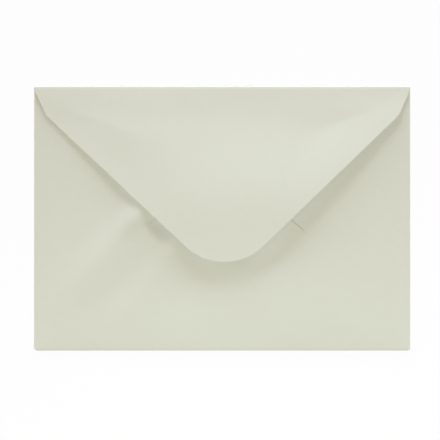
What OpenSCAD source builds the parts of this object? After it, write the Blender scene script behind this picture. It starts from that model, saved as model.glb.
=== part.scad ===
// Paper envelope, cut, folded and glued from one sheet. It lies on its
// address side with the flap up. The flap has not been sealed, so the
// spring in its fold holds the tip clear of the pocket.
// X runs along the width, +Y points at the flap's fold and Z is up.
// The origin is on the underside, at the middle of the outline.

/* [Envelope] */
// Width of the folded envelope
body_w = 162; // [130:1:200]
// Height of the folded envelope
body_h = 114; // [100:1:170]

/* [Paper] */
// Thickness of the sheet
paper_t = 0.16; // [0.08:0.01:0.3]
// Radius inside the side folds, which sets how thick the pocket is
side_fold_r = 0.15; // [0.05:0.01:0.6]
// Room between layers that lie on each other without glue
layer_gap = 0.04; // [0.02:0.01:0.3]
// Room between two folds at a corner of the envelope
corner_gap = 0.06; // [0.03:0.01:0.5]

/* [Top flap] */
// How far the top flap reaches down over the bottom flap
flap_cover = 27.8; // [12:0.2:44]
// Radius of the top flap's tip
flap_tip_r = 24; // [6:0.5:36]
// Length of the flap's sides that is flush with the envelope
flap_side = 1.9; // [0:0.1:5]
// Distance of the flap's shoulders from the sides of the envelope
shoulder_in = 5.1; // [2:0.1:10]
// Distance of the flap's shoulders from its fold
shoulder_drop = 12.6; // [8:0.1:24]
// Radius of the flap's shoulders
shoulder_r = 3.5; // [0.5:0.1:6]
// Angle at which the flap springs up from the pocket
lift_angle = 2.5; // [0:0.5:12]

/* [Bottom flap] */
// Angle between the bottom flap's edges and its fold
seam_angle = 48.6; // [40:0.2:58]
// Radius of the bottom flap's tip
bottom_tip_r = 49.5; // [20:0.5:60]

/* [Side flaps] */
// Distance between the tips of the two side flaps
side_tip_gap = 44; // [20:1:60]
// Radius of the side flaps' tips
side_tip_r = 25; // [10:0.5:30]
// Distance of the side flaps' shoulders from the envelope's edges
side_shoulder = 3; // [1.5:0.1:6]
// Radius of the side flaps' shoulders
side_shoulder_r = 4; // [0.5:0.1:8]

/* [Seams] */
// Width of side flap that lies under the edge of the bottom flap
seam_lap = 12.6; // [9:0.1:18]
// Distance of the glue from the edge of the bottom flap
glue_inset = 0.8; // [0.2:0.1:3]
// Width of the band of glue
glue_w = 8; // [3:0.5:14]
// Thickness of the dried glue
glue_t = 0.03; // [0.01:0.01:0.1]

/* [Hidden] */
// Angle between the points of an outline's arc, and segments in a fold's circle
arc_angle = 3;
fold_fn = 48;
// Overshoot of a cutting shape
over = 1;

// Heights of the layers, from the address panel upwards
side_under = paper_t + 2 * side_fold_r;
side_top = side_under + paper_t;
bottom_under = side_top + glue_t;
bottom_top = bottom_under + paper_t;
flap_under = bottom_top + layer_gap;

// Radius inside the two long folds, and outside each of the folds
bottom_fold_r = (bottom_under - paper_t) / 2;
flap_fold_r = (flap_under - paper_t) / 2;
side_fold_out = side_fold_r + paper_t;
bottom_fold_out = bottom_fold_r + paper_t;
flap_fold_out = flap_fold_r + paper_t;

// Half the length of a long fold, and where the side folds end
long_fold_half = body_w / 2 - side_fold_out - corner_gap;
side_fold_low = -body_h / 2 + bottom_fold_out + corner_gap;
side_fold_high = body_h / 2 - flap_fold_out - corner_gap;

// Depth of the bottom flap at its point, if it were sharp, and at its round tip
bottom_point = long_fold_half * tan(seam_angle);
bottom_depth = bottom_point - bottom_tip_r * (1 / cos(seam_angle) - 1);

// The top flap's edges run from its shoulders and touch the arc of its tip
flap_depth = body_h - bottom_depth + flap_cover;
shoulder_half = body_w / 2 - shoulder_in;
flap_slope = angle_under(shoulder_half, flap_depth - flap_tip_r - shoulder_drop, flap_tip_r);
flap_point = shoulder_drop + shoulder_half * tan(flap_slope);

// Side flaps: their lower edges are parallel to the seam, one lap inside it.
// The arc of the tip touches that edge, and the upper edge touches the arc.
side_reach = (body_w - side_tip_gap) / 2;
side_low = -body_h / 2 + side_shoulder;
side_high = body_h / 2 - side_shoulder;
lap_at_fold = side_fold_out + corner_gap + seam_lap / sin(seam_angle);
shoulder_at = lap_at_fold + side_shoulder / tan(seam_angle);
tip_at = side_reach - side_tip_r;
tip_along = side_low + (tip_at - shoulder_at) * tan(seam_angle) + side_tip_r / cos(seam_angle);
side_slope = angle_over(tip_at - shoulder_at, side_high - tip_along, side_tip_r);
point_at = shoulder_at + (side_high - side_low) / (tan(seam_angle) + tan(side_slope));
point_along = side_low + (point_at - shoulder_at) * tan(seam_angle);

// Room above every layer, for the shapes that trim them
trim_h = flap_under + flap_depth * tan(lift_angle) + 2 * paper_t + over;

// Downward angle of a line from a point that passes under a circle and
// touches it. The circle's centre lies this far along and this far down.
function angle_under(along, down, radius) =
    atan2(down, along) + asin(radius / norm([along, down]));

// The same for a line that passes over the circle
function angle_over(along, down, radius) =
    atan2(down, along) - asin(radius / norm([along, down]));

// Unit vector from one point to another
function toward(from, to) = (to - from) / norm(to - from);

// A corner is [x, y, radius]. This is its place without the radius.
function place(corner) = [corner[0], corner[1]];

// Half the angle between the two edges that meet at a corner
function half_angle(before, corner, after) =
    acos(toward(place(corner), place(before)) * toward(place(corner), place(after))) / 2;

// Centre of the arc that rounds a corner
function arc_centre(before, corner, after) =
    place(corner)
    + toward([0, 0], toward(place(corner), place(before)) + toward(place(corner), place(after)))
        * corner[2] / sin(half_angle(before, corner, after));

// Direction, as an angle, of the outward normal of an edge of the outline
function normal_of(from, to) = atan2(to[1] - from[1], to[0] - from[0]) - 90;

// Points of a corner: itself if it is sharp, otherwise its arc, which turns
// from the normal of the edge before it to the normal of the edge after it
function corner_points(before, corner, after) =
    corner[2] == 0 ? [place(corner)] :
    let (
        turn = 180 - 2 * half_angle(before, corner, after),
        steps = ceil(turn / arc_angle),
        centre = arc_centre(before, corner, after),
        first = normal_of(before, corner)
    )
    [for (i = [0:steps]) let (at = first + turn * i / steps)
        centre + corner[2] * [cos(at), sin(at)]];

// Convex outline, anticlockwise, with straight edges and round corners
module round_outline(corners) {
    count = len(corners);
    polygon([
        for (i = [0:count - 1])
            each corner_points(corners[(i + count - 1) % count], corners[i], corners[(i + 1) % count])
    ]);
}

// Puts a flap on an edge of the envelope. The flap is drawn with its fold
// along Y at X = 0 and the envelope on the side of +X.
module at_edge(distance, turn) {
    rotate([0, 0, turn])
        translate([-distance, 0, 0])
            children();
}

// Section through a fold and its flap: the paper leaves the address panel,
// turns back over a round fold and runs on at the angle of lift
module fold_section(fold_r, depth, lift) {
    out_r = fold_r + paper_t;
    translate([out_r, out_r]) {
        intersection() {
            difference() {
                circle(r = out_r, $fn = fold_fn);
                circle(r = fold_r, $fn = fold_fn);
            }
            translate([-out_r - over, -out_r - over])
                square([out_r + over, 2 * (out_r + over)]);
            rotate(lift)
                translate([-out_r - over, -2 * (out_r + over)])
                    square([out_r + over, 4 * (out_r + over)]);
        }
        rotate(lift)
            translate([0, fold_r])
                square([depth / cos(lift) + over, paper_t]);
    }
}

// A flap with its fold, trimmed to an outline that is seen from above
module folded_flap(fold_r, depth, lift, fold_l) {
    intersection() {
        rotate([90, 0, 0])
            linear_extrude(height = fold_l, center = true)
                fold_section(fold_r, depth, lift);
        translate([0, 0, -over])
            linear_extrude(height = trim_h + over)
                children();
    }
}

module address_panel() {
    low = -body_h / 2 + bottom_fold_out;
    high = body_h / 2 - flap_fold_out;
    half = body_w / 2 - side_fold_out;
    translate([-half, low, 0])
        cube([2 * half, high - low, paper_t]);
}

module side_outline() {
    round_outline([
        [0, side_fold_high, 0],
        [0, side_fold_low, 0],
        [side_fold_out, side_fold_low, 0],
        [shoulder_at, side_low, side_shoulder_r],
        [point_at, point_along, side_tip_r],
        [shoulder_at, side_high, side_shoulder_r],
        [side_fold_out, side_fold_high, 0]
    ]);
}

// The bottom flap, or what is left of it inside a margin along its edges
module bottom_outline(margin = 0) {
    half = long_fold_half - margin / sin(seam_angle);
    round_outline([
        [0, half, 0],
        [0, -half, 0],
        [half * tan(seam_angle), 0, bottom_tip_r - margin]
    ]);
}

module flap_outline() {
    round_outline([
        [0, long_fold_half, 0],
        [0, -long_fold_half, 0],
        [flap_fold_out + flap_side, -long_fold_half, 0],
        [shoulder_drop, -shoulder_half, shoulder_r],
        [flap_point, 0, flap_tip_r],
        [shoulder_drop, shoulder_half, shoulder_r],
        [flap_fold_out + flap_side, long_fold_half, 0]
    ]);
}

module side_flap() {
    folded_flap(side_fold_r, side_reach, 0, body_h)
        side_outline();
}

module bottom_flap() {
    folded_flap(bottom_fold_r, bottom_depth, 0, body_w)
        bottom_outline();
}

module top_flap() {
    folded_flap(flap_fold_r, flap_depth, lift_angle, body_w)
        flap_outline();
}

// The two bands of glue that hold the bottom flap on the side flaps
module glue_bands() {
    translate([0, 0, side_top])
        linear_extrude(height = glue_t)
            intersection() {
                at_edge(body_h / 2, 90)
                    difference() {
                        bottom_outline(glue_inset);
                        bottom_outline(glue_inset + glue_w);
                    }
                for (side = [0, 1])
                    mirror([side, 0, 0])
                        at_edge(body_w / 2, 0)
                            side_outline();
            }
}

module envelope() {
    color([0.84, 0.845, 0.785]) {
        address_panel();
        for (side = [0, 1])
            mirror([side, 0, 0])
                at_edge(body_w / 2, 0)
                    side_flap();
        at_edge(body_h / 2, 90)
            bottom_flap();
        glue_bands();
        at_edge(body_h / 2, -90)
            top_flap();
    }
}

envelope();
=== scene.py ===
import bmesh
import bpy
import math
import numpy as np
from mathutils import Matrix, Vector
from mathutils.geometry import delaunay_2d_cdt


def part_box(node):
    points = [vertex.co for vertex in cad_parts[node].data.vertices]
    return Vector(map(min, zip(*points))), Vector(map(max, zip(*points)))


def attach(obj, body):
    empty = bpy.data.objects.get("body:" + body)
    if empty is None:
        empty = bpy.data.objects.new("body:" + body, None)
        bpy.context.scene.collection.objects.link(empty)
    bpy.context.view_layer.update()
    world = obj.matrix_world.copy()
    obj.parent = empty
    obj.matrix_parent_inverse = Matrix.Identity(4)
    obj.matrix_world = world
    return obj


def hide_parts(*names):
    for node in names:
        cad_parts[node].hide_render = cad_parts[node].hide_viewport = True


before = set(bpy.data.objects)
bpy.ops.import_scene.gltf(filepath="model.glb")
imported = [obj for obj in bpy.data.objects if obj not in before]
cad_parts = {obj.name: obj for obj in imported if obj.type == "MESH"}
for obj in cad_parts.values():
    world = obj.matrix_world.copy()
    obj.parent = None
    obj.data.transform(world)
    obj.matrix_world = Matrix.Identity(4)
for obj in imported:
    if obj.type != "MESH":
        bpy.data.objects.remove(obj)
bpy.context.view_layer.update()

# Sizes are in metres. The outline comes from the frame, and the rest repeats
# the driving dimensions of the part.
MM = 0.001
LOW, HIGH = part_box("envelope")
WIDTH = HIGH.x - LOW.x
HEIGHT = HIGH.y - LOW.y

# Thickness of the paper, and the room that its folds and layers take
PAPER = 0.16 * MM
SIDE_FOLD_R = 0.15 * MM
LAYER_GAP = 0.04 * MM
GLUE = 0.03 * MM
CORNER_GAP = 0.06 * MM

# Top flap
FLAP_COVER = 27.8 * MM
FLAP_TIP_R = 24 * MM
FLAP_SIDE = 1.9 * MM
SHOULDER_IN = 5.1 * MM
SHOULDER_DROP = 12.6 * MM
SHOULDER_R = 3.5 * MM
LIFT = math.radians(2.5)
# It was folded a little askew, which moves its tip, 76 mm down, 0.9 mm to the right
FLAP_SKEW = 0.9 / 76

# Band of dried gum on the inside of the top flap, along its free edges
GUM_INSET = 1.5 * MM
GUM_WIDTH = 12 * MM
GUM_START = 16 * MM

# Bottom flap and side flaps
SEAM = math.radians(48.6)
BOTTOM_TIP_R = 49.5 * MM
SIDE_TIP_GAP = 44 * MM
SIDE_TIP_R = 25 * MM
SIDE_SHOULDER = 3 * MM
SIDE_SHOULDER_R = 4 * MM
SEAM_LAP = 12.6 * MM

# Heights of the layers' middle surfaces, and the folds' outer radii
SIDE_MID = 1.5 * PAPER + 2 * SIDE_FOLD_R
BOTTOM_MID = SIDE_MID + PAPER + GLUE
FLAP_MID = BOTTOM_MID + PAPER + LAYER_GAP
SIDE_OUT = (SIDE_MID + PAPER / 2) / 2
BOTTOM_OUT = (BOTTOM_MID + PAPER / 2) / 2
FLAP_OUT = (FLAP_MID + PAPER / 2) / 2
# Radius of the top fold's middle surface, and where the flap leaves it
FLAP_MID_R = FLAP_OUT - PAPER / 2
FLAP_ROOT = FLAP_OUT - FLAP_MID_R * math.sin(LIFT)
FLAP_START = FLAP_OUT + FLAP_MID_R * math.cos(LIFT)

# Half the length of the top fold and of the bottom fold, and the side folds' ends
LONG_HALF = WIDTH / 2 - SIDE_OUT - CORNER_GAP
BOTTOM_HALF = LONG_HALF - BOTTOM_OUT / math.tan(SEAM)
SIDE_LOW = -HEIGHT / 2 + BOTTOM_OUT + CORNER_GAP
SIDE_HIGH = HEIGHT / 2 - FLAP_OUT - CORNER_GAP

# Depths of the bottom flap, if its tip were sharp and as it is, and of the top flap
BOTTOM_POINT = LONG_HALF * math.tan(SEAM)
BOTTOM_DEPTH = BOTTOM_POINT - BOTTOM_TIP_R * (1 / math.cos(SEAM) - 1)
FLAP_DEPTH = HEIGHT - BOTTOM_DEPTH + FLAP_COVER

# Fineness of the mesh: inside the flaps and the panel, along edges, and round arcs and folds
GRID = 1.3 * MM
PANEL_GRID = 4 * MM
EDGE_STEP = 1.2 * MM
ARC_STEP = math.radians(3)
FOLD_STEPS = 10
# Free room between an outline and the points inside it, as a share of the grid, or of
# two edge steps where the grid is coarser
LATTICE_MARGIN = 0.55
# Points that fall in the same cell of this size are joined
WELD = 0.002 * MM
# Lengths below this count as nothing
TINY = 1e-9
# The triangulation makes triangles inside the border only. It works in millimetres, and
# takes points nearer to each other than this as one.
INSIDE_ONLY = 1
SAME_POINT_MM = 1e-5


# Outlines

def unit(v):
    return v / np.linalg.norm(v)


def corner_arc(before, corner, after):
    """Points of one corner [x, y, radius] of an anticlockwise outline."""
    at = np.array(corner[:2])
    if corner[2] == 0:
        return [at]
    back = unit(np.array(before[:2]) - at)
    on = unit(np.array(after[:2]) - at)
    half = math.acos(np.clip(back @ on, -1, 1)) / 2
    centre = at + unit(back + on) * corner[2] / math.sin(half)
    first = math.atan2(-back[1], -back[0]) - math.pi / 2
    turn = math.pi - 2 * half
    steps = math.ceil(turn / ARC_STEP)
    angles = [first + turn * i / steps for i in range(steps + 1)]
    return [centre + corner[2] * np.array([math.cos(a), math.sin(a)]) for a in angles]


def outline(corners):
    """Convex outline with straight edges and round corners."""
    n = len(corners)
    points = []
    for i in range(n):
        points += corner_arc(corners[i - 1], corners[i], corners[(i + 1) % n])
    return np.array(points)


def tangent_angle(along, down, radius, side):
    """Downward angle of a line that touches a circle on its lower (1) or upper (-1) side."""
    return math.atan2(down, along) + side * math.asin(radius / math.hypot(along, down))


def bottom_outline():
    return outline([
        (BOTTOM_OUT, BOTTOM_HALF, 0),
        (BOTTOM_OUT, -BOTTOM_HALF, 0),
        (BOTTOM_POINT, 0, BOTTOM_TIP_R),
    ])


def flap_outline():
    half = WIDTH / 2 - SHOULDER_IN
    slope = tangent_angle(half, FLAP_DEPTH - FLAP_TIP_R - SHOULDER_DROP, FLAP_TIP_R, 1)
    point = SHOULDER_DROP + half * math.tan(slope)
    return outline([
        (FLAP_ROOT, LONG_HALF, 0),
        (FLAP_ROOT, -LONG_HALF, 0),
        (FLAP_OUT + FLAP_SIDE, -LONG_HALF, 0),
        (SHOULDER_DROP, -half, SHOULDER_R),
        (point, 0, FLAP_TIP_R),
        (SHOULDER_DROP, half, SHOULDER_R),
        (FLAP_OUT + FLAP_SIDE, LONG_HALF, 0),
    ])


def side_outline():
    low = -HEIGHT / 2 + SIDE_SHOULDER
    high = HEIGHT / 2 - SIDE_SHOULDER
    shoulder = (SIDE_OUT + CORNER_GAP + SEAM_LAP / math.sin(SEAM)
                + SIDE_SHOULDER / math.tan(SEAM))
    tip = (WIDTH - SIDE_TIP_GAP) / 2 - SIDE_TIP_R
    along = low + (tip - shoulder) * math.tan(SEAM) + SIDE_TIP_R / math.cos(SEAM)
    slope = tangent_angle(tip - shoulder, high - along, SIDE_TIP_R, -1)
    point = shoulder + (high - low) / (math.tan(SEAM) + math.tan(slope))
    return outline([
        (SIDE_OUT, SIDE_HIGH, 0),
        (SIDE_OUT, SIDE_LOW, 0),
        (shoulder, low, SIDE_SHOULDER_R),
        (point, low + (point - shoulder) * math.tan(SEAM), SIDE_TIP_R),
        (shoulder, high, SIDE_SHOULDER_R),
    ])


def inside(points, ring):
    """Distance of each point from the nearest edge of a convex ring, positive inside."""
    a = ring
    d = np.roll(ring, -1, axis=0) - a
    length = np.linalg.norm(d, axis=1)
    keep = length > TINY
    a = a[keep]
    d = d[keep]
    length = length[keep]
    inward = np.stack([-d[:, 1], d[:, 0]], axis=1) / length[:, None]
    rel = points[:, None, :] - a[None, :, :]
    return (rel * inward[None]).sum(2).min(1)


SIDE_RING = side_outline()
BOTTOM_RING = bottom_outline()
FLAP_RING = flap_outline()


# Curves that the reliefs are made of

def smooth(t):
    """0 below 0, 1 above 1 and a smooth rise between."""
    t = np.clip(t, 0, 1)
    return t * t * (3 - 2 * t)


def fade_in(value, start, width):
    """0 up to a start, then a smooth rise to 1 over a width."""
    return smooth((value - start) / width)


def fade_out(value, width):
    """1 at 0, then a smooth fall to 0 over a width."""
    return smooth(1 - value / width)


def bell(value, centre, width):
    """1 at a centre, falling off to 0 on both sides."""
    return np.exp(-((value - centre) / width) ** 2)


def bent(along, start, length):
    """0 up to a start, then a curve whose slope grows to 1 over a length and stays so."""
    t = np.clip((along - start) / length, 0, 1)
    return length * t * t / 2 + np.clip(along - start - length, 0, None)


def off_fold(distance, reach):
    """0 at a fold, and close to 1 beyond its reach."""
    return 1 - np.exp(-np.clip(distance, 0, None) / reach)


def swell(x, y, centre, along, across, angle, height):
    """A soft oval rise, or a hollow if its height is negative.

    Its centre, widths and height are in millimetres and its angle is in degrees. Across
    the angle it has two widths: those of its left and right sides, seen along the angle.
    """
    turn = math.radians(angle)
    dx = x / MM - centre[0]
    dy = y / MM - centre[1]
    u = (dx * math.cos(turn) + dy * math.sin(turn)) / along
    v = dy * math.cos(turn) - dx * math.sin(turn)
    v = v / np.where(v > 0, across[0], across[1])
    return height * MM * np.exp(-u * u - v * v)


# Relief: how the springy paper departs from flat layers. x and y are arrays.

# The back of the pocket: its height where no swell lies, and its swells
POCKET_RISE = 0.55 * MM
POCKET_SWELLS = (
    # A fold in the left side flap bulges up, most of all where the top flap's edge
    # crosses it
    dict(centre=(-50, -15), along=30, across=(7, 10), angle=47.8, height=0.6),
    dict(centre=(-35.7, 2), along=9, across=(6, 5), angle=47.8, height=0.98),
    # A deep hollow and a rise follow it along that edge, and a long shallow hollow
    # lies below it
    dict(centre=(-27.6, -2.4), along=5.5, across=(4.6, 4.4), angle=-46, height=-1.02),
    dict(centre=(-19.5, -11), along=4.5, across=(5, 6), angle=-43, height=0.9),
    dict(centre=(-40, -27), along=24, across=(7, 7), angle=46, height=-0.2),
    # Two lower folds run beside the first
    dict(centre=(-37, -36), along=20, across=(5, 9), angle=48, height=0.17),
    dict(centre=(-28, -23), along=6, across=(5, 5), angle=46, height=0.15),
    # The pocket sinks in front of the top flap's tip, and on the right of it
    dict(centre=(-13, -28), along=15, across=(9, 12), angle=0, height=-0.5),
    dict(centre=(25.5, -15), along=12, across=(6, 13), angle=43, height=-0.78),
    # The right side is calmer: a shallow hollow, and a low rise along the bottom fold
    dict(centre=(38, -8), along=26, across=(9, 9), angle=-41, height=-0.15),
    dict(centre=(33, -47), along=16, across=(25, 7), angle=0, height=0.3),
)

# The bottom flap: how far it sinks between the side flaps, and how far its edge
# curls up where the seam shows beside the top flap
BOTTOM_SINK = 0.1 * MM
SEAM_CURL = 0.24 * MM
SEAM_CURL_X = 30.5 * MM

# The top flap's bend: its height, how far from the fold it starts on the left, and a
# steady slope taken off it. More slope is taken off near the tip, which levels it.
BEND_HEIGHT = 1.3 * MM
BEND_START = 8 * MM
BEND_SLOPE = 0.013
TIP_SLOPE = 0.036

# Heights of the top flap's smaller forms
FOLD_RISE = 0.15 * MM
LEFT_DROOP = 0.4 * MM
RIGHT_CURL = 0.22 * MM
RIGHT_VALLEY = 0.25 * MM
# Distance of the right edge's valley from that edge, which is also the curl's width
RIGHT_WIDTH = 22 * MM


def pocket_relief(x, y):
    """How far the back of the pocket stands up from its flat place. It is 0 at every fold."""
    off_sides = off_fold(WIDTH / 2 - SIDE_OUT - np.abs(x), reach=12 * MM)
    off_bottom = off_fold(y + HEIGHT / 2 - BOTTOM_OUT, reach=7 * MM)
    off_top = off_fold(HEIGHT / 2 - FLAP_OUT - y, reach=12 * MM)
    rise = np.full_like(x, POCKET_RISE)
    for sizes in POCKET_SWELLS:
        rise = rise + swell(x, y, **sizes)
    return rise * (off_sides * off_bottom * off_top)


def bottom_relief(x, y):
    """The bottom flap sinks where no side flap lies under it, and curls along its edge."""
    depth = y + HEIGHT / 2
    from_side = np.stack([WIDTH / 2 - np.abs(x), y], axis=1)
    over_side = fade_in(inside(from_side, SIDE_RING), start=-9 * MM, width=8.6 * MM)
    sink = -BOTTOM_SINK * (1 - over_side)
    edge = inside(np.stack([depth, x], axis=1), BOTTOM_RING)
    free = fade_out(np.abs(x - SEAM_CURL_X), width=9.5 * MM)
    curl = SEAM_CURL * free * fade_out(edge, width=7 * MM)
    return pocket_relief(x, y) + (sink + curl) * fade_in(depth, BOTTOM_OUT, width=8 * MM)


def flap_bend(x, depth):
    """A bend beyond the fold. It starts nearer the fold on the right and fades out on the left."""
    start = BEND_START - BEND_START * fade_in(x, start=20 * MM, width=60 * MM)
    bend = BEND_HEIGHT * fade_in(depth, start, width=40 * MM) - BEND_SLOPE * depth
    bend = bend * fade_in(x, start=-45 * MM, width=60 * MM)
    return bend * fade_in(depth, start=0, width=5 * MM)


def fold_rise(x, depth):
    """A faint rise along the left part of the fold."""
    rise = FOLD_RISE * bell(x, centre=-35 * MM, width=22 * MM)
    near = fade_in(depth, start=0, width=8 * MM)
    return rise * (near - fade_in(depth, start=8 * MM, width=40 * MM))


def left_droop(x, depth, edge):
    """The left edge hangs a little lower."""
    left = fade_in(-x, start=-10 * MM, width=50 * MM) * fade_out(edge, width=24 * MM)
    return -LEFT_DROOP * left * fade_in(depth, start=0, width=18 * MM)


def flap_relief(x, y):
    """The top flap bends up beyond its fold and levels out again towards its tip."""
    edge = inside(np.stack([HEIGHT / 2 - y, x], axis=1), FLAP_RING)
    depth = np.clip(HEIGHT / 2 - y - FLAP_ROOT, 0, None)
    level = -TIP_SLOPE * bent(depth, start=46 * MM, length=14 * MM)
    # The right edge curls up a little, beside a shallow valley
    right = fade_in(x, start=20 * MM, width=24 * MM) * fade_in(depth, start=0, width=14 * MM)
    curl = RIGHT_CURL * right * fade_out(edge, RIGHT_WIDTH)
    valley = -RIGHT_VALLEY * right * bell(edge, RIGHT_WIDTH, width=10 * MM)
    left = left_droop(x, depth, edge)
    return flap_bend(x, depth) + level + fold_rise(x, depth) + left + curl + valley


# The scene's objects

def new_object(name, data):
    made = bpy.data.objects.new(name, data)
    bpy.context.scene.collection.objects.link(made)
    return made


# The sheet's middle surface

# Its points, its faces, and how much gum each point carries, from 0 to 1
POINTS = []
FACES = []
GUM = []


def add(points, faces, gum=0):
    """Adds points and the faces between them to the middle surface."""
    base = sum(len(p) for p in POINTS)
    POINTS.append(np.array(points))
    GUM.append(np.zeros(len(points)) + gum)
    FACES.extend([tuple(base + i for i in f) for f in faces])


def to_edge(edge, depth, along, height):
    """Frame position of a point that is drawn from the outside of an edge's fold."""
    if edge == "left":
        return np.stack([-WIDTH / 2 + depth, along, height], axis=1)
    if edge == "right":
        return np.stack([WIDTH / 2 - depth, along, height], axis=1)
    if edge == "bottom":
        return np.stack([along, -HEIGHT / 2 + depth, height], axis=1)
    return np.stack([along, HEIGHT / 2 - depth, height], axis=1)


def along_fold(low, high):
    """Even stops along a fold. Its panel, its bend and its flap share them."""
    return np.linspace(low, high, math.ceil((high - low) / EDGE_STEP) + 1)


def split_edges(ring, root):
    """The ring with points added along its long edges, and the fold's own points on its root."""
    points = []
    for i, a in enumerate(ring):
        b = ring[(i + 1) % len(ring)]
        length = np.linalg.norm(b - a)
        if abs(a[0] - root) < TINY and abs(b[0] - root) < TINY:
            parts = math.ceil(length / EDGE_STEP)
        else:
            parts = max(1, round(length / EDGE_STEP))
        points += [a + (b - a) * t for t in np.linspace(0, 1, parts + 1)[:-1]]
    return np.array(points)


def filled(ring, grid):
    """Points and triangles that fill a convex ring, with a triangular lattice inside."""
    low = ring.min(0)
    high = ring.max(0)
    rows = np.arange(low[0], high[0] + grid, grid * math.sqrt(3) / 2)
    lattice = []
    for i, row in enumerate(rows):
        cells = np.arange(low[1] + (i % 2) * grid / 2, high[1] + grid, grid)
        lattice.append(np.stack([np.full(len(cells), row), cells], axis=1))
    lattice = np.concatenate(lattice)
    lattice = lattice[inside(lattice, ring) > LATTICE_MARGIN * min(grid, 2 * EDGE_STEP)]
    points = np.concatenate([ring, lattice])
    n = len(ring)
    border = [(i, (i + 1) % n) for i in range(n)]
    in_mm = [Vector(p / MM) for p in points]
    made = delaunay_2d_cdt(in_mm, border, [], INSIDE_ONLY, SAME_POINT_MM)
    return np.array([tuple(v) for v in made[0]]) * MM, made[2]


def add_fold(edge, out_r, low, high, lift):
    """The round bend from the address panel to a flap."""
    mid_r = out_r - PAPER / 2
    stops = along_fold(low, high)
    count = len(stops)
    points = []
    faces = []
    for i in range(FOLD_STEPS + 1):
        angle = (math.pi - lift) * i / FOLD_STEPS
        depth = out_r - mid_r * math.sin(angle)
        height = out_r - mid_r * math.cos(angle)
        points.append(to_edge(edge, np.full(count, depth), stops, np.full(count, height)))
    for i in range(FOLD_STEPS):
        for j in range(count - 1):
            a = i * count + j
            faces.append((a, a + 1, a + count + 1, a + count))
    add(np.concatenate(points), faces)


def gum_band(plan):
    """1 where gum lies on the top flap, 0 elsewhere."""
    edge = inside(plan, FLAP_RING) - GUM_INSET
    band = np.clip(edge / GRID, 0, 1) * np.clip((GUM_WIDTH - edge) / GRID, 0, 1)
    return band * np.clip((plan[:, 0] - GUM_START) / GRID, 0, 1)


def add_flap(edge, ring, root, start, relief, lift=0, skew=0):
    """A flap beyond its fold, which it leaves at a root depth and a start height."""
    plan, faces = filled(split_edges(ring, root), GRID)
    beyond = plan[:, 0] - root
    points = to_edge(edge, plan[:, 0], plan[:, 1], start + beyond * math.tan(lift))
    points[:, 2] += relief(points[:, 0], points[:, 1])
    points[:, 0] += skew * beyond
    add(points, faces, gum_band(plan) if edge == "top" else 0)


def add_address_panel():
    half = WIDTH / 2 - SIDE_OUT
    low = -HEIGHT / 2 + BOTTOM_OUT
    high = HEIGHT / 2 - FLAP_OUT
    sides = along_fold(SIDE_LOW, SIDE_HIGH)
    ring = [(-half, low)]
    ring += [(x, low) for x in along_fold(-BOTTOM_HALF, BOTTOM_HALF)]
    ring += [(half, low)]
    ring += [(half, y) for y in sides]
    ring += [(half, high)]
    ring += [(x, high) for x in along_fold(-LONG_HALF, LONG_HALF)[::-1]]
    ring += [(-half, high)]
    ring += [(-half, y) for y in sides[::-1]]
    plan, faces = filled(np.array(ring), PANEL_GRID)
    add(np.column_stack([plan, np.full(len(plan), PAPER / 2)]), faces)


def build_middle():
    """The address panel, and each fold with its flap."""
    add_address_panel()
    for edge in ("left", "right"):
        add_fold(edge, SIDE_OUT, SIDE_LOW, SIDE_HIGH, 0)
        add_flap(edge, SIDE_RING, SIDE_OUT, SIDE_MID, pocket_relief)
    add_fold("bottom", BOTTOM_OUT, -BOTTOM_HALF, BOTTOM_HALF, 0)
    add_flap("bottom", BOTTOM_RING, BOTTOM_OUT, BOTTOM_MID, bottom_relief)
    add_fold("top", FLAP_OUT, -LONG_HALF, LONG_HALF, LIFT)
    add_flap("top", FLAP_RING, FLAP_ROOT, FLAP_START, flap_relief, LIFT, FLAP_SKEW)


# The sheet as a solid

def merged(points, faces):
    """Joins points that meet and drops faces that collapse. Also says which points were kept."""
    key = np.round(points / WELD).astype(np.int64)
    _, first, which = np.unique(key, axis=0, return_index=True, return_inverse=True)
    which = which.reshape(-1)
    faces = [tuple(which[i] for i in f) for f in faces]
    return points[first], [f for f in faces if len(set(f)) == len(f)], first


def same_way(points, faces):
    """Turns the faces so that neighbours agree and the address panel looks down."""
    mesh = bpy.data.meshes.new("middle")
    mesh.from_pydata([tuple(p) for p in points], [], faces)
    bm = bmesh.new()
    bm.from_mesh(mesh)
    bmesh.ops.recalc_face_normals(bm, faces=bm.faces)
    lowest = min(bm.faces, key=lambda f: f.calc_center_median().z)
    if lowest.normal.z > 0:
        bmesh.ops.reverse_faces(bm, faces=bm.faces)
    turned = [tuple(v.index for v in f.verts) for f in bm.faces]
    bm.free()
    bpy.data.meshes.remove(mesh)
    return turned


def point_normals(points, faces):
    """Normal of each point: that of the triangles and quads around it, by their area."""
    normals = np.zeros_like(points)
    for size in (3, 4):
        rows = np.array([f for f in faces if len(f) == size])
        if len(rows) == 0:
            continue
        p = points[rows]
        face = np.cross(p[:, 1] - p[:, 0], p[:, -1] - p[:, 0])
        if size == 4:
            face += np.cross(p[:, 2] - p[:, 1], p[:, 0] - p[:, 1])
        for k in range(size):
            np.add.at(normals, rows[:, k], face)
    return normals / np.linalg.norm(normals, axis=1)[:, None]


def rim_edges(faces):
    """Directed edges with a face on one side only."""
    edges = [edge for f in faces for edge in zip(f, f[1:] + f[:1])]
    known = set(edges)
    return [(a, b) for a, b in edges if (b, a) not in known]


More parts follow.
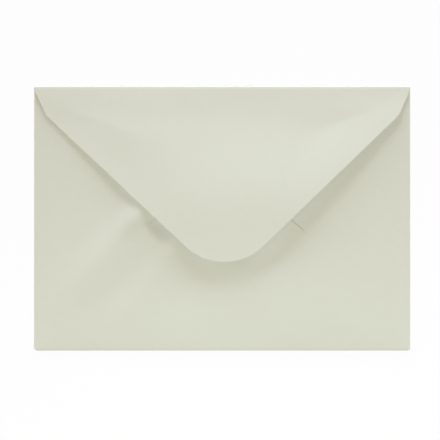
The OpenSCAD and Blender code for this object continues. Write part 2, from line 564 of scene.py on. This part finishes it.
def build_envelope():
    """One closed mesh: the outside of the paper, its inside, and its cut edges as a rim."""
    build_middle()
    points, faces, kept = merged(np.concatenate(POINTS), FACES)
    gum = np.concatenate(GUM)[kept]
    faces = same_way(points, faces)
    offset = point_normals(points, faces) * PAPER / 2
    n = len(points)
    rim = rim_edges(faces)
    sides = list(faces) + [tuple(i + n for i in reversed(f)) for f in faces]
    edges = [(b, a, a + n, b + n) for a, b in rim]
    mesh = bpy.data.meshes.new("envelope_sheet")
    shell = np.concatenate([points + offset, points - offset])
    mesh.from_pydata([tuple(p) for p in shell], [], sides + edges)
    mesh.polygons.foreach_set("use_smooth", [True] * len(mesh.polygons))
    mesh.polygons.foreach_set("material_index", [0] * len(sides) + [1] * len(edges))
    sharp = {frozenset(e) for e in rim} | {frozenset((a + n, b + n)) for a, b in rim}
    mesh.edges.foreach_set("use_edge_sharp", [frozenset(e.vertices) in sharp for e in mesh.edges])
    # The first half of the points is the outside of the paper, which has no gum
    gummed = mesh.attributes.new("gum", "FLOAT", "POINT")
    gummed.data.foreach_set("value", np.concatenate([np.zeros(n), gum]))
    mesh.update()
    return new_object("envelope_sheet", mesh)


# Materials

# The paper's grain runs between two tones. Its fibres are streaks, turned a little.
PAPER_DARK = (0.655, 0.662, 0.553, 1)
PAPER_LIGHT = (0.69, 0.698, 0.588, 1)
FIBRE_STRETCH = 3.2
FIBRE_TURN = math.radians(12)
GRAIN_DEPTH = 0.04 * MM

# Dried gum, which has a sheen that bare paper hasn't
GUM_TONE = (0.63, 0.56, 0.34, 1)
GUM_SHEEN = 0.4

# The cut edges are lighter than the paper's sides
CUT_DARK = (0.84, 0.84, 0.76, 1)
CUT_LIGHT = (0.9, 0.9, 0.83, 1)


def node(tree, kind, at, **values):
    """A new node at a place in the tree. The values are those of its inputs or settings."""
    made = tree.nodes.new(kind)
    made.location = at
    for name, value in values.items():
        if name in made.inputs:
            made.inputs[name].default_value = value
        else:
            setattr(made, name, value)
    return made


def new_material(name):
    """A new material, its node tree and its shader."""
    mat = bpy.data.materials.new(name)
    mat.use_nodes = True
    return mat, mat.node_tree, mat.node_tree.nodes["Principled BSDF"]


def paper_grain(tree):
    """Soft clouds and finer fibres, in equal shares."""
    link = tree.links.new
    coords = node(tree, "ShaderNodeTexCoord", (-1200, 0))
    cloud = node(tree, "ShaderNodeTexNoise", (-800, 200), Scale=260, Detail=3, Roughness=0.6)
    stretch = node(tree, "ShaderNodeMapping", (-1000, -100))
    stretch.inputs["Scale"].default_value = (1, FIBRE_STRETCH, 1)
    stretch.inputs["Rotation"].default_value = (0, 0, FIBRE_TURN)
    fibre = node(tree, "ShaderNodeTexNoise", (-800, -100), Scale=700, Detail=5, Roughness=0.65)
    both = node(tree, "ShaderNodeMath", (-600, 100), operation="ADD")
    half = node(tree, "ShaderNodeMath", (-500, 100), operation="MULTIPLY")
    half.inputs[1].default_value = 0.5
    link(coords.outputs["Object"], cloud.inputs["Vector"])
    link(coords.outputs["Object"], stretch.inputs["Vector"])
    link(stretch.outputs["Vector"], fibre.inputs["Vector"])
    link(cloud.outputs["Fac"], both.inputs[0])
    link(fibre.outputs["Fac"], both.inputs[1])
    link(both.outputs[0], half.inputs[0])
    return half.outputs[0]


def paper_material():
    mat, tree, shader = new_material("ivory_paper")
    link = tree.links.new
    grain = paper_grain(tree)
    tone = node(tree, "ShaderNodeMixRGB", (-400, 200), Color1=PAPER_DARK, Color2=PAPER_LIGHT)
    gum = node(tree, "ShaderNodeAttribute", (-600, 500), attribute_name="gum")
    coated = node(tree, "ShaderNodeMixRGB", (-200, 300), Color2=GUM_TONE)
    link(grain, tone.inputs["Fac"])
    link(gum.outputs["Fac"], coated.inputs["Fac"])
    link(tone.outputs["Color"], coated.inputs["Color1"])
    link(coated.outputs["Color"], shader.inputs["Base Color"])
    sheen = node(tree, "ShaderNodeMath", (-200, 100), operation="MULTIPLY")
    sheen.inputs[1].default_value = GUM_SHEEN
    link(gum.outputs["Fac"], sheen.inputs[0])
    link(sheen.outputs[0], shader.inputs["Specular IOR Level"])
    shader.inputs["Roughness"].default_value = 0.5
    bump = node(tree, "ShaderNodeBump", (-300, -200), Strength=0.25, Distance=GRAIN_DEPTH)
    link(grain, bump.inputs["Height"])
    link(bump.outputs["Normal"], shader.inputs["Normal"])
    return mat


def cut_edge_material():
    mat, tree, shader = new_material("paper_cut_edge")
    shader.inputs["Roughness"].default_value = 0.85
    coords = node(tree, "ShaderNodeTexCoord", (-800, 0))
    fibre = node(tree, "ShaderNodeTexNoise", (-600, 0), Scale=5000, Detail=3)
    tone = node(tree, "ShaderNodeMixRGB", (-300, 0), Color1=CUT_DARK, Color2=CUT_LIGHT)
    tree.links.new(coords.outputs["Object"], fibre.inputs["Vector"])
    tree.links.new(fibre.outputs["Fac"], tone.inputs["Fac"])
    tree.links.new(tone.outputs["Color"], shader.inputs["Base Color"])
    return mat


# Stage: floor, light and camera

WHITE = (1, 1, 1, 1)

# The floor, and how far it glows white to the rays that show it as background
FLOOR_TONE = (0.9, 0.9, 0.9, 1)
FLOOR_HALF = 4.0
FLOOR_GLOW = 0.9

# The raking lamps are cool, the fills less so, and what comes from all around is warm and dim
KEY_TINT = (0.88, 1.0, 1.18)
FILL_TINT = (0.855, 1.0, 1.06)
AMBIENT = (0.23, 0.105, 0.02, 1)

# Rows of lamps: their elevation in degrees, distance, size and tint. Each lamp has
# its name, its azimuth in degrees and its power in watts.
LAMP_ROWS = (
    dict(elevation=11, away=0.6, size=0.17, tint=KEY_TINT, lamps=(
        ("key_right", -50, 0.92), ("key", 0, 2.8), ("key_left", 70, 0.73))),
    dict(elevation=3, away=0.6, size=0.05, tint=KEY_TINT, lamps=(
        ("low_right", -60, 0.67), ("low", 0, 1.33), ("low_left", 60, 0.67))),
    dict(elevation=55, away=0.42, size=0.14, tint=FILL_TINT, lamps=(
        ("fill_right", -150, 0.77), ("fill_left", 150, 0.6))),
)

# Camera: lens and sensor in the usual millimetres, the width of the view, where its
# middle lies, and the height at which that width is seen
LENS = 135
SENSOR = 36
VIEW_WIDTH = 189.46 * MM
VIEW_X = -0.93 * MM
VIEW_Y = -0.73 * MM
VIEW_LEVEL = 0.8 * MM


def background_rays(tree):
    """1 for the rays that show the background: from the camera, or by gloss or glass."""
    path = node(tree, "ShaderNodeLightPath", (-800, 0))
    direct = node(tree, "ShaderNodeMath", (-600, 0), operation="ADD")
    every = node(tree, "ShaderNodeMath", (-400, 0), operation="ADD", use_clamp=True)
    tree.links.new(path.outputs["Is Camera Ray"], direct.inputs[0])
    tree.links.new(path.outputs["Is Glossy Ray"], direct.inputs[1])
    tree.links.new(direct.outputs[0], every.inputs[0])
    tree.links.new(path.outputs["Is Transmission Ray"], every.inputs[1])
    return every.outputs[0]


def floor_material():
    mat = bpy.data.materials.new("white_floor")
    mat.use_nodes = True
    tree = mat.node_tree
    tree.nodes.clear()
    link = tree.links.new
    out = node(tree, "ShaderNodeOutputMaterial", (600, 0))
    plain = node(tree, "ShaderNodeBsdfDiffuse", (0, 100), Color=FLOOR_TONE)
    glow = node(tree, "ShaderNodeEmission", (0, -100), Color=WHITE)
    mix = node(tree, "ShaderNodeMixShader", (300, 0))
    seen = node(tree, "ShaderNodeMath", (-150, 0), operation="MULTIPLY")
    seen.inputs[1].default_value = FLOOR_GLOW
    link(background_rays(tree), seen.inputs[0])
    link(seen.outputs[0], mix.inputs["Fac"])
    link(plain.outputs["BSDF"], mix.inputs[1])
    link(glow.outputs["Emission"], mix.inputs[2])
    link(mix.outputs["Shader"], out.inputs["Surface"])
    return mat


def add_floor():
    """One square, with the envelope on its middle."""
    mesh = bpy.data.meshes.new("floor")
    signs = ((-1, -1), (1, -1), (1, 1), (-1, 1))
    mesh.from_pydata([(x * FLOOR_HALF, y * FLOOR_HALF, 0) for x, y in signs], [], [(0, 1, 2, 3)])
    mesh.materials.append(floor_material())
    new_object("floor", mesh)


def add_world():
    """White where it is seen as background, and the ambient light for everything else."""
    world = bpy.data.worlds.new("studio")
    world.use_nodes = True
    bpy.context.scene.world = world
    tree = world.node_tree
    back = tree.nodes["Background"]
    back.inputs["Strength"].default_value = 1
    tone = node(tree, "ShaderNodeMixRGB", (-200, 0), Color1=AMBIENT, Color2=WHITE)
    tree.links.new(background_rays(tree), tone.inputs["Fac"])
    tree.links.new(tone.outputs["Color"], back.inputs["Color"])


def add_lamp(name, azimuth, elevation, away, size, watts, tint):
    """A round softbox that faces the envelope. Azimuth 0 is beyond the top flap's fold."""
    light = bpy.data.lights.new(name, "AREA")
    light.shape = "DISK"
    light.size = size
    light.energy = watts
    light.color = tint
    lamp = new_object(name, light)
    turn = math.radians(azimuth)
    rise = math.radians(elevation)
    lamp.location = (
        -away * math.cos(rise) * math.sin(turn),
        away * math.cos(rise) * math.cos(turn),
        away * math.sin(rise),
    )
    lamp.rotation_mode = "QUATERNION"
    lamp.rotation_quaternion = lamp.location.to_track_quat("Z", "Y")
    lamp.visible_camera = False


def add_lamps():
    """Two rows of lamps rake over the top fold, and a higher pair fills from the other side."""
    for row in LAMP_ROWS:
        for name, azimuth, watts in row["lamps"]:
            add_lamp(name, azimuth, row["elevation"], row["away"], row["size"], watts, row["tint"])


def add_camera():
    """Straight above, as the photograph was taken."""
    data = bpy.data.cameras.new("camera")
    data.sensor_width = SENSOR
    data.lens = LENS
    data.clip_start = 0.01
    data.clip_end = 20
    camera = new_object("camera", data)
    camera.location = (VIEW_X, VIEW_Y, VIEW_WIDTH * LENS / SENSOR + VIEW_LEVEL)
    bpy.context.scene.camera = camera


sheet = build_envelope()
sheet.data.materials.append(paper_material())
sheet.data.materials.append(cut_edge_material())
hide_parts("envelope")
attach(sheet, "root")
add_floor()
add_world()
add_lamps()
add_camera()
bpy.context.scene.view_settings.view_transform = "Standard"
